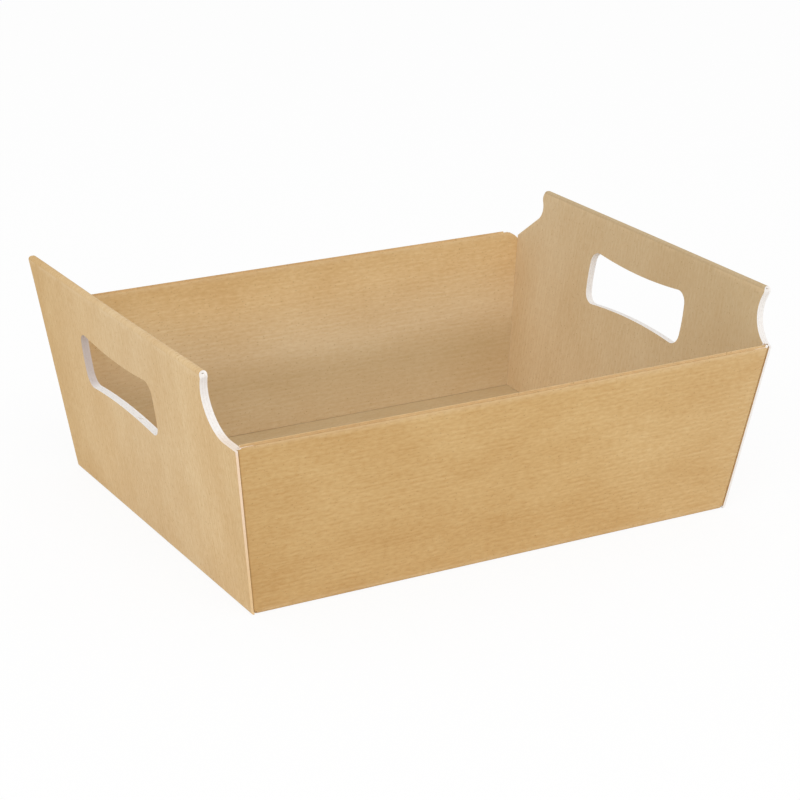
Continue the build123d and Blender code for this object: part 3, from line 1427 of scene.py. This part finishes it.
@dataclass(frozen=True)
class KraftLiner:
    """Kraft paper glued to the board: matt brown, streaked along the grain by its long fibres.

    Single fibres are too fine to show, so the finest grain is drawn as clumps of them.
    """

    name: str = "streaked_kraft_paper"
    # Colours along the tone, brown to grey: apart from the long walls' outer tone, the pale tones
    # carry painted sheen and the grey ones painted shade.
    shades: tuple[str, ...] = ("#C29C65", "#CDA972", "#D9BA8B", "#D6BE9A", "#C2AA84")
    shade_tones: tuple[float, ...] = (0.0, 0.2, 0.5, 0.8, 1.0)
    # Colour that creases lighten towards: partly crease wear, partly painted highlight.
    pale_tint: str = "#E8CFA8"
    speck: str = "#A07A4A"
    roughness: float = 0.8
    specular: float = 0.3
    hue: Triple = (0.6, 1.0, 1.6)
    # Lift of the inside faces and the inner half of each roll: painted light, brighter than the
    # outside.
    inner_tint: Triple = (1.085, 1.095, 1.08)
    grain: tuple[GrainLayer, ...] = (
        GrainLayer(length=4.0, width=1.3, detail=2.0, dark=0.89, light=1.09),
        GrainLayer(length=22.0, width=1.5, detail=1.5, dark=0.945, light=1.05),
        GrainLayer(length=60.0, width=32.0, detail=2.0, dark=0.91, light=1.08),
        GrainLayer(length=60.0, width=3.0, detail=1.0, dark=0.98, light=1.02, kind=GrainKind.RIB),
    )
    speck_grain: GrainLayer = GrainLayer(length=1.5, width=0.9, detail=1.0, dark=0.0, light=0.55)
    layer_step: Point2 = (3.7, 1.9)
    noise_span: Point2 = (0.25, 0.75)
    grain_tones: Point2 = (0.2, 1.0)
    grain_strengths: Point2 = (0.9, 0.5)
    speck_span: Point2 = (0.72, 0.8)
    rub_and_highlight_strength: float = 0.3
    rib_wander: float = 2.5
    rib_wander_scale: float = 1.5
    bump_strength: float = 0.08
    bump_mm: float = 0.1

    # A wave texture of scale 1 repeats at this length.
    WAVE_LENGTH = tau / 20

    def grain_noises(
        self, tree: bpy.types.NodeTree, blank: bpy.types.NodeSocket
    ) -> list[bpy.types.NodeSocket]:
        """Add the textures of the grain, scale by scale, and of the specks.

        Args:
            tree: Tree that takes the nodes.
            blank: Place in the flat blank.

        Returns:
            One value for each scale of the grain, and the specks' value last.
        """
        noises = []
        for number, layer in enumerate((*self.grain, self.speck_grain)):
            scale = (1 / (layer.length * MM), 1 / (layer.width * MM), 1.0)
            shift = (self.layer_step[0] * number, self.layer_step[1] * number, 0.0)
            inputs = {"Vector": blank, "Location": shift, "Scale": scale}
            spot = add_node(tree, "ShaderNodeMapping", inputs).outputs["Vector"]
            inputs = {"Vector": spot, "Detail": layer.detail, "Scale": 1.0}
            settings = {"noise_dimensions": "2D"}
            if layer.kind is GrainKind.RIB:
                inputs["Scale"] = self.WAVE_LENGTH
                inputs["Distortion"] = self.rib_wander
                inputs["Detail Scale"] = self.rib_wander_scale
                settings = {"bands_direction": "Y"}
            noises.append(add_node(tree, layer.kind.value, inputs, **settings).outputs["Fac"])
        return noises

    def material(self) -> bpy.types.Material:
        """Make the paper's material on the sheet's own UV map.

        Returns:
            The material.
        """
        material = bpy.data.materials.new(self.name)
        tree = empty_tree(material)
        blank = add_node(tree, "ShaderNodeUVMap", uv_map=SHEET_UV).outputs["UV"]
        tone = add_node(tree, "ShaderNodeAttribute", attribute_name="tone").outputs["Fac"]
        crease = add_node(tree, "ShaderNodeAttribute", attribute_name="crease").outputs["Fac"]
        ramp = add_node(tree, "ShaderNodeValToRGB", {"Fac": tone})
        stops = ramp.color_ramp.elements
        for tone_stop in self.shade_tones[1:-1]:
            stops.new(tone_stop)
        for stop, shade in zip(stops, self.shades):
            stop.color = linear(shade)
        colour = ramp.outputs["Color"]
        noises = self.grain_noises(tree, blank)
        none, plain = (0.0,) * 3, (1.0,) * 3
        vectors = {"data_type": "FLOAT_VECTOR"}
        # Inside faces are lifted by the inner tint: painted light.
        inside = add_node(tree, "ShaderNodeAttribute", attribute_name="inside").outputs["Fac"]
        inputs = dict(zip(VECTOR_RANGE, (inside, none, plain, plain, self.inner_tint)))
        shares = [add_node(tree, "ShaderNodeMapRange", inputs, **vectors).outputs["Vector"]]
        span = (tone, *self.grain_tones, *self.grain_strengths)
        ranged = add_node(tree, "ShaderNodeMapRange", dict(zip(RANGE_SOCKETS, span)))
        strength = ranged.outputs["Result"]
        low, high = [(limit,) * 3 for limit in self.noise_span]
        for layer, noise in zip(self.grain, noises):
            ends = (layer.dark, layer.light)
            dark, light = [tuple(shade**power for power in self.hue) for shade in ends]
            inputs = dict(zip(VECTOR_RANGE, (noise, low, high, dark, light)))
            grain = add_node(tree, "ShaderNodeMapRange", inputs, **vectors).outputs["Vector"]
            inputs = dict(zip(VECTOR_MIX, (strength, plain, grain)))
            shares.append(add_node(tree, "ShaderNodeMix", inputs, data_type="VECTOR").outputs[1])
        for share in shares:
            product = add_node(
                tree, "ShaderNodeVectorMath", {0: colour, 1: share}, operation="MULTIPLY"
            )
            colour = product.outputs["Vector"]
        span = (noises[-1], *self.speck_span, 0.0, self.speck_grain.light)
        specks = add_node(tree, "ShaderNodeMapRange", dict(zip(RANGE_SOCKETS, span)))
        # Creases are lightened: partly crease wear, partly painted highlight.
        rub_and_highlight = add_node(tree, "ShaderNodeMapRange", {"Value": crease, "To Max": self.rub_and_highlight_strength})
        for share, tint in ((rub_and_highlight, self.pale_tint), (specks, self.speck)):
            inputs = dict(zip(COLOUR_MIX, (share.outputs["Result"], colour, linear(tint))))
            colour = add_node(tree, "ShaderNodeMix", inputs, data_type="RGBA").outputs[2]
        matt_surface(tree, colour, noises[0], self)
        return material


@dataclass(frozen=True)
class BoardCore:
    """Raw cut edge of the board: bleached pulp, white, matt and faintly fibrous.

    It is creamy down the corners of the left end, a deeper cream towards their foot, and grey with
    painted shade at the back of the left end's hand hole.
    """

    name: str = "white_board_core"
    white: str = "#F6F3EE"
    shade: str = "#E5DFDC"
    # Cream down the corners of the left end, deeper towards their foot.
    pale_tint: str = "#FEE5C9"
    foot_tint: str = "#F4D6A7"
    corner_reach: Point2 = (104.0, 110.0)
    corner_height: Point2 = (101.0, 94.0)
    corner_end: Point2 = (0.0, -10.0)
    # Painted shade at the back of the left end's hand hole.
    painted_hole_shade: str = "#D8D0CE"
    hole_shade_start: Point2 = (60.0, 66.0)
    hole_shade_stop: Point2 = (95.0, 85.0)
    foot_span: Point2 = (20.0, 60.0)
    fibre_mm: float = 1.3
    fibre_detail: float = 3.0
    roughness: float = 0.9
    specular: float = 0.2
    bump_strength: float = 0.3
    bump_mm: float = 0.1

    def tint_patch(
        self, tree: bpy.types.NodeTree, limits: tuple[tuple[bpy.types.NodeSocket, Point2], ...]
    ) -> bpy.types.NodeSocket:
        """Add what tells where the edge is tinted.

        Args:
            tree: Tree that takes the nodes.
            limits: Coordinates, each with the places in mm where the tint starts and is full.

        Returns:
            Socket that is 1 in the patch and 0 outside it.
        """
        patch = None
        for value, (start, full) in limits:
            inputs = {"Value": value, "From Min": start * MM, "From Max": full * MM}
            share = add_node(tree, "ShaderNodeMapRange", inputs).outputs["Result"]
            if patch:
                inputs = {0: patch, 1: share}
                share = add_node(tree, "ShaderNodeMath", inputs, operation="MULTIPLY").outputs[0]
            patch = share
        return patch

    def material(self) -> bpy.types.Material:
        """Make the cut edge's material.

        Returns:
            The material.
        """
        material = bpy.data.materials.new(self.name)
        tree = empty_tree(material)
        place = add_node(tree, "ShaderNodeTexCoord").outputs["Object"]
        inputs = {"Vector": place, "Scale": 1 / (self.fibre_mm * MM), "Detail": self.fibre_detail}
        fibres = add_node(tree, "ShaderNodeTexNoise", inputs).outputs["Fac"]
        inputs = dict(zip(COLOUR_MIX, (fibres, linear(self.white), linear(self.shade))))
        colour = add_node(tree, "ShaderNodeMix", inputs, data_type="RGBA").outputs[2]
        axes = add_node(tree, "ShaderNodeSeparateXYZ", {0: place}).outputs
        across = add_node(tree, "ShaderNodeMath", {0: axes["Y"]}, operation="ABSOLUTE").outputs[0]
        left = (axes["X"], self.corner_end)
        tall, back = axes["Z"], axes["Y"]
        limits = ((across, self.corner_reach), (tall, self.corner_height), left)
        corner = self.tint_patch(tree, limits)
        # Painted shade at the back of the left end's hand hole.
        hole_shade = self.tint_patch(tree, ((back, self.hole_shade_start), (back, self.hole_shade_stop), left))
        foot = self.tint_patch(tree, ((tall, self.foot_span),))
        inputs = dict(zip(COLOUR_MIX, (foot, linear(self.foot_tint), linear(self.pale_tint))))
        corner_tint = add_node(tree, "ShaderNodeMix", inputs, data_type="RGBA").outputs[2]
        for patch, tint in ((corner, corner_tint), (hole_shade, linear(self.painted_hole_shade))):
            inputs = dict(zip(COLOUR_MIX, (patch, colour, tint)))
            settings = {"data_type": "RGBA", "blend_type": "MULTIPLY"}
            colour = add_node(tree, "ShaderNodeMix", inputs, **settings).outputs[2]
        matt_surface(tree, colour, fibres, self)
        return material


@dataclass
class BoardBuilder:
    """Geometry Nodes tree that bows a one-layer sheet and gives it the board's thickness."""

    thickness: float
    liner: bpy.types.Material
    core: bpy.types.Material
    sharp_angle: float = 32.0
    weld_mm: float = 0.002

    def tree(self) -> tuple[bpy.types.NodeTree, dict[str, str]]:
        """Build the tree.

        Returns:
            The tree and the identifier of each named input.
        """
        tree = bpy.data.node_groups.new("board_build", "GeometryNodeTree")
        face = tree.interface
        face.new_socket(name="Sheet", in_out="INPUT", socket_type="NodeSocketGeometry")
        ids = {}
        for name, kind in (
            ("Board thickness", "NodeSocketFloat"),
            ("Bow unit", "NodeSocketFloat"),
            ("Liner", "NodeSocketMaterial"),
            ("Core", "NodeSocketMaterial"),
        ):
            ids[name] = face.new_socket(name=name, in_out="INPUT", socket_type=kind).identifier
        face.new_socket(name="Board", in_out="OUTPUT", socket_type="NodeSocketGeometry")
        given = tree.nodes.new("NodeGroupInput").outputs
        bow = add_node(
            tree, "GeometryNodeInputNamedAttribute", {"Name": "bow"}, data_type="FLOAT_VECTOR"
        )
        inputs = {0: bow.outputs["Attribute"], "Scale": given["Bow unit"]}
        shift = add_node(tree, "ShaderNodeVectorMath", inputs, operation="SCALE")
        inputs = {"Geometry": given["Sheet"], "Offset": shift.outputs["Vector"]}
        bowed = add_node(tree, "GeometryNodeSetPosition", inputs)
        inputs = {0: given["Board thickness"], 1: -0.5}
        half = add_node(tree, "ShaderNodeMath", inputs, operation="MULTIPLY")
        normal = add_node(tree, "GeometryNodeInputNormal")
        inputs = {0: normal.outputs["Normal"], "Scale": half.outputs[0]}
        back = add_node(tree, "ShaderNodeVectorMath", inputs, operation="SCALE")
        inputs = {"Geometry": bowed.outputs["Geometry"], "Offset": back.outputs["Vector"]}
        lower = add_node(tree, "GeometryNodeSetPosition", inputs).outputs["Geometry"]
        inputs = {"Mesh": lower, "Offset Scale": given["Board thickness"], "Individual": False}
        raised = add_node(tree, "GeometryNodeExtrudeMesh", inputs, mode="FACES").outputs
        under = add_node(tree, "GeometryNodeFlipFaces", {"Mesh": lower})
        joined = tree.nodes.new("GeometryNodeJoinGeometry")
        for part in (under.outputs["Mesh"], raised["Mesh"]):
            tree.links.new(part, joined.inputs[0])
        angle = add_node(tree, "GeometryNodeInputMeshEdgeAngle")
        inputs = {0: angle.outputs["Unsigned Angle"], 1: radians(self.sharp_angle)}
        settings = {"data_type": "FLOAT", "operation": "GREATER_THAN"}
        steep = add_node(tree, "FunctionNodeCompare", inputs, **settings).outputs["Result"]
        crisp = {"Selection": steep, "Shade Smooth": False}
        cut = {"Selection": raised["Side"], "Material": given["Core"]}
        geometry = joined.outputs["Geometry"]
        for kind, inputs, settings in (
            ("GeometryNodeMergeByDistance", {"Distance": self.weld_mm * MM}, {}),
            ("GeometryNodeSetShadeSmooth", {"Shade Smooth": True}, {}),
            ("GeometryNodeSetShadeSmooth", crisp, {"domain": "EDGE"}),
            ("GeometryNodeRealizeInstances", {}, {}),
            ("GeometryNodeSetMaterial", {"Material": given["Liner"]}, {}),
            ("GeometryNodeSetMaterial", cut, {}),
        ):
            inputs = {"Geometry": geometry, **inputs}
            geometry = add_node(tree, kind, inputs, **settings).outputs["Geometry"]
        add_node(tree, "NodeGroupOutput", {0: geometry})
        return tree, ids

    def apply(self, sheet: bpy.types.Object, name: str) -> bpy.types.Object:
        """Turn a one-layer sheet into a plain mesh of board.

        Args:
            sheet: The one-layer sheet, which is used up.
            name: Name of the finished piece.

        Returns:
            The finished piece.
        """
        tree, ids = self.tree()
        modifier = sheet.modifiers.new("board", "NODES")
        modifier.node_group = tree
        for socket, value in (
            ("Board thickness", self.thickness * MM),
            ("Bow unit", MM),
            ("Liner", self.liner),
            ("Core", self.core),
        ):
            modifier[ids[socket]] = value
        graph = bpy.context.evaluated_depsgraph_get()
        mesh = bpy.data.meshes.new_from_object(
            sheet.evaluated_get(graph), preserve_all_data_layers=True, depsgraph=graph
        )
        mesh.name = name
        sheet.modifiers.remove(modifier)
        bpy.data.objects.remove(sheet)
        return new_object(name, mesh)


@dataclass(frozen=True)
class EndCut:
    """What tells the two ends apart: side, bow, painted light and shade on the tone, places of the
    hole and scoops in mm.
    """

    side: int
    bow: float
    slant: float
    droop: float
    hole_shift: float
    hole_drop: float
    front_inset: float | None
    back_inset: float | None
    roll_turn: float
    front_ear: float = 3.0
    back_ear: float = 5.0
    climb_radius: float = 9.0
    climb_drop: float = 4.0

    def edges(
        self, form: BasketForm, rim_rise: float, top_rise: float
    ) -> tuple[HandleEdge, HandleEdge]:
        """Standing edges at the front and at the back.

        Args:
            form: Outer form of the basket.
            rim_rise: Rise of the long walls' rims.
            top_rise: Rise of the end's top.

        Returns:
            The front edge and the back edge, which climbs where it has a scoop.
        """
        rises = (form, rim_rise, top_rise)
        front = HandleEdge(*rises, self.front_inset, self.front_ear)
        back = (*rises, self.back_inset, self.back_ear)
        if self.back_inset is None:
            return (front, HandleEdge(*back))
        return (front, ClimbingEdge(*back, self.climb_radius, self.climb_drop))


@dataclass(frozen=True)
class RimCut:
    """What tells the two long walls apart: side, bow, a painted light gradient on the tone and the
    rim's rounded ends in mm.
    """

    side: int
    bow: float
    slant: float
    round_radius: float
    round_overrun: float


@dataclass
class FoldedBasket:
    """The basket: every panel of the one sheet."""

    form: BasketForm = field(default_factory=BasketForm)
    end_cuts: tuple[EndCut, EndCut] = (
        EndCut(
            side=-1,
            bow=0.6,
            slant=-0.06,
            droop=3.5,
            hole_shift=20.0,
            hole_drop=46.6,
            front_inset=13.3,
            back_inset=None,
            roll_turn=0.75,
        ),
        EndCut(
            side=1,
            bow=0.5,
            slant=-0.07,
            droop=0.0,
            hole_shift=-4.0,
            hole_drop=39.1,
            front_inset=-7.7,
            back_inset=17.8,
            roll_turn=0.4,
        ),
    )
    rim_cuts: tuple[RimCut, RimCut] = (
        RimCut(side=-1, bow=0.8, slant=0.12, round_radius=2.5, round_overrun=0.6),
        RimCut(side=1, bow=0.5, slant=0.03, round_radius=15.7, round_overrun=-1.1),
    )
    # The ends' paler outer tone, and its drop towards their sides, are painted sheen.
    end_tone: float = 0.56
    # The ends' inner tones, at the foot, a third up and at the rim, are painted shade, greyest at
    # the top.
    end_inner_tones: Triple = (0.8, 0.84, 0.93)
    end_sheen_falloff: float = 0.24
    side_tone: float = 0.17
    # The long walls' inner tones are painted shade, greyest in their lower part.
    side_inner_tones: Triple = (0.87, 0.95, 0.33)
    edge_step: float = 7.0
    corner_level: float = 1.0
    swell_share: float = 0.8

    def wall_plane(self, kind: WallKind, side: int) -> WallPlane:
        """Plane of one wall.

        Args:
            kind: Pair of walls that it belongs to.
            side: Side, -1 or 1.

        Returns:
            The plane.
        """
        form, board = self.form, self.form.board
        ends = (form.base_length, form.end_lean, form.handle_height, board.end_pack)
        sides = (form.base_width, form.side_lean, form.rim_height, board.side_pack)
        base, lean, height, pack = ends if kind is WallKind.END else sides
        return WallPlane(kind, side, base / 2, radians(lean), height, pack, board)

    def sheet(self) -> SheetMesh:
        """Lay out the whole sheet.

        Returns:
            The one-layer surface.
        """
        form, board = self.form, self.form.board
        end_plane = self.wall_plane(WallKind.END, 1)
        side_plane = self.wall_plane(WallKind.LONG, 1)
        length, width = end_plane.fold_centre, side_plane.fold_centre
        inner_edge = even_span(-width, width, self.edge_step)
        corner = form.half_width(self.corner_level)
        end_edge = [-corner, *inner_edge, corner]
        turn = form.half_length(self.corner_level, board.flap_inset + board.fold_radius)
        side_edge = even_span(-turn, turn, self.edge_step)
        ends = []
        for cut in self.end_cuts:
            front, back = cut.edges(form, side_plane.rise, end_plane.rise)
            end = EndWall(
                form=form,
                plane=self.wall_plane(WallKind.END, cut.side),
                bow=cut.bow,
                tone=self.end_tone,
                inner_tones=self.end_inner_tones,
                sheen_falloff=self.end_sheen_falloff,
                slant=cut.slant,
                base_edge=end_edge,
                hole=HandHole(cut.hole_shift, end_plane.rise - cut.hole_drop),
                front=front,
                back=back,
                droop=cut.droop,
                roll_turn=cut.roll_turn,
            )
            ends.append(end)
        sides = [
            LongWall(
                form=form,
                plane=self.wall_plane(WallKind.LONG, cut.side),
                bow=cut.bow,
                tone=self.side_tone,
                inner_tones=self.side_inner_tones,
                slant=cut.slant,
                base_edge=side_edge,
                round_radius=cut.round_radius,
                round_overrun=cut.round_overrun,
            )
            for cut in self.rim_cuts
        ]
        sheet = SheetMesh()
        base = BasePanel(form, ends[1], inner_edge[1:-1], [-length, *side_edge, length])
        base.build(sheet, length, width)
        for end in ends:
            end.build(sheet)
            for side in sides:
                CornerFlap(form, end, side).build(sheet)
        for side in sides:
            side.build(sheet, CornerFlap(form, ends[1], side).wall_edge())
        return sheet

    def build(self) -> bpy.types.Object:
        """Build the folded sheet as one layer."""
        return self.sheet().to_object("folded_sheet")

    def dress(self, sheet: bpy.types.Object) -> bpy.types.Object:
        """Give the folded sheet its thickness and its finishes.

        Args:
            sheet: The one-layer sheet, which is used up.

        Returns:
            The finished piece.
        """
        thickness = self.form.board.thickness + self.swell_share * self.form.board.gap
        builder = BoardBuilder(thickness, KraftLiner().material(), BoardCore().material())
        return builder.apply(sheet, "kraft_basket_sheet")


@dataclass(frozen=True)
class SoftLamp:
    """Square soft lamp: its place and size in metres and its power in watts."""

    name: str
    place: Triple
    size: float
    power: float

    def hang(self, target: Triple) -> None:
        """Hang the lamp so that it faces a point.

        Args:
            target: Point that it faces.
        """
        data = bpy.data.lights.new(self.name, "AREA")
        data.shape = "SQUARE"
        data.size = self.size
        data.energy = self.power
        aim = Vector(target) - Vector(self.place)
        turn = aim.to_track_quat("-Z", "Y").to_matrix().to_4x4()
        new_object(self.name, data).matrix_world = Matrix.Translation(self.place) @ turn


@dataclass(frozen=True)
class Studio:
    """White studio: floor, soft lamps, even sky and the camera of the photograph."""

    floor_size: float = 12.0
    floor_level: float = -0.0003
    floor_white: str = "#FAFAFA"
    floor_glow: float = 0.9
    sky: float = 0.78
    white: tuple[float, ...] = (1.0, 1.0, 1.0, 1.0)
    lamps: tuple[SoftLamp, ...] = (
        SoftLamp("key_softbox", place=(-2.4, -2.2, 2.0), size=1.8, power=27.5),
        SoftLamp("fill_softbox", place=(-0.2, -1.7, 2.1), size=1.2, power=11.0),
    )
    lamp_target: Triple = (0.0, 0.0, 0.06)
    camera_place: Triple = (-0.6335, -1.1174, 0.5298)
    azimuth: float = -29.6336
    elevation: float = 20.3438
    roll: float = 0.5817
    lens_px: float = 2389.27
    image_px: float = 800.0
    sensor_mm: float = 36.0
    clip: Point2 = (0.05, 50.0)

    def camera(self) -> bpy.types.Object:
        """Place the camera where the photograph was taken from.

        Returns:
            The camera.
        """
        data = bpy.data.cameras.new("photo_camera")
        data.sensor_fit = "HORIZONTAL"
        data.sensor_width = self.sensor_mm
        data.lens = self.lens_px / self.image_px * self.sensor_mm
        data.clip_start, data.clip_end = self.clip
        data.dof.use_dof = False
        az, el, roll = radians(self.azimuth), radians(self.elevation), radians(self.roll)
        back = Vector((sin(az) * cos(el), -cos(az) * cos(el), sin(el)))
        right = Vector((cos(az), sin(az), 0.0))
        up = back.cross(right)
        tilted_right = right * cos(roll) + up * sin(roll)
        tilted_up = up * cos(roll) - right * sin(roll)
        turn = Matrix((tilted_right, tilted_up, back)).transposed().to_4x4()
        camera = new_object("photo_camera", data)
        camera.matrix_world = Matrix.Translation(self.camera_place) @ turn
        bpy.context.scene.camera = camera
        return camera

    def seen(self, tree: bpy.types.NodeTree) -> bpy.types.NodeSocket:
        """Add what tells rays that see the studio from rays that only light the basket.

        Args:
            tree: Tree that takes the nodes.

        Returns:
            Socket that is 1 for camera, glossy and transmission rays and 0 for the others.
        """
        path = add_node(tree, "ShaderNodeLightPath").outputs
        total = path["Is Camera Ray"]
        for kind in ("Is Glossy Ray", "Is Transmission Ray"):
            inputs = {0: total, 1: path[kind]}
            total = add_node(tree, "ShaderNodeMath", inputs, use_clamp=True).outputs[0]
        return total

    def floor(self) -> bpy.types.Object:
        """Lay the white floor, which keeps the basket's shadow.

        Returns:
            The floor.
        """
        mesh = bpy.data.meshes.new("studio_floor")
        half = self.floor_size / 2
        ring = ((-half, -half), (half, -half), (half, half), (-half, half))
        mesh.from_pydata([(*spot, self.floor_level) for spot in ring], [], [(0, 1, 2, 3)])
        floor = new_object("studio_floor", mesh)
        # Seamless studio paper: matt, even and white, with no gloss.
        material = bpy.data.materials.new("white_paper_sweep")
        tree = empty_tree(material)
        inputs = {"Value": self.seen(tree), "To Max": self.floor_glow}
        share = add_node(tree, "ShaderNodeMapRange", inputs)
        matt = add_node(tree, "ShaderNodeBsdfDiffuse", {"Color": linear(self.floor_white)})
        glow = add_node(tree, "ShaderNodeEmission", {"Color": self.white, "Strength": 1.0})
        inputs = {0: share.outputs["Result"], 1: matt.outputs["BSDF"], 2: glow.outputs["Emission"]}
        both = add_node(tree, "ShaderNodeMixShader", inputs)
        add_node(tree, "ShaderNodeOutputMaterial", {"Surface": both.outputs["Shader"]})
        mesh.materials.append(material)
        return floor

    def sky_light(self) -> None:
        """Fill the studio with even white light, plain white to the camera."""
        world = bpy.data.worlds.new("white_studio")
        bpy.context.scene.world = world
        tree = empty_tree(world)
        inputs = {"Value": self.seen(tree), "To Min": self.sky, "To Max": 1.0}
        strength = add_node(tree, "ShaderNodeMapRange", inputs)
        inputs = {"Color": self.white, "Strength": strength.outputs["Result"]}
        light = add_node(tree, "ShaderNodeBackground", inputs)
        add_node(tree, "ShaderNodeOutputWorld", {"Surface": light.outputs["Background"]})

    def build(self) -> bpy.types.Object:
        """Set up the whole studio.

        Returns:
            The floor.
        """
        bpy.context.scene.view_settings.view_transform = "Standard"
        self.sky_light()
        floor = self.floor()
        for lamp in self.lamps:
            lamp.hang(self.lamp_target)
        self.camera()
        return floor


def main() -> None:
    """Build the basket and its studio."""
    logging.basicConfig(level=logging.INFO)
    folded = FoldedBasket()
    basket = folded.dress(folded.build())
    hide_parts("folded_basket")
    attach(basket, "root")
    floor = Studio().build()
    for piece in (basket, floor):
        log.info("%s: %d faces", piece.name, len(piece.data.polygons))


if __name__ == "__main__":
    main()
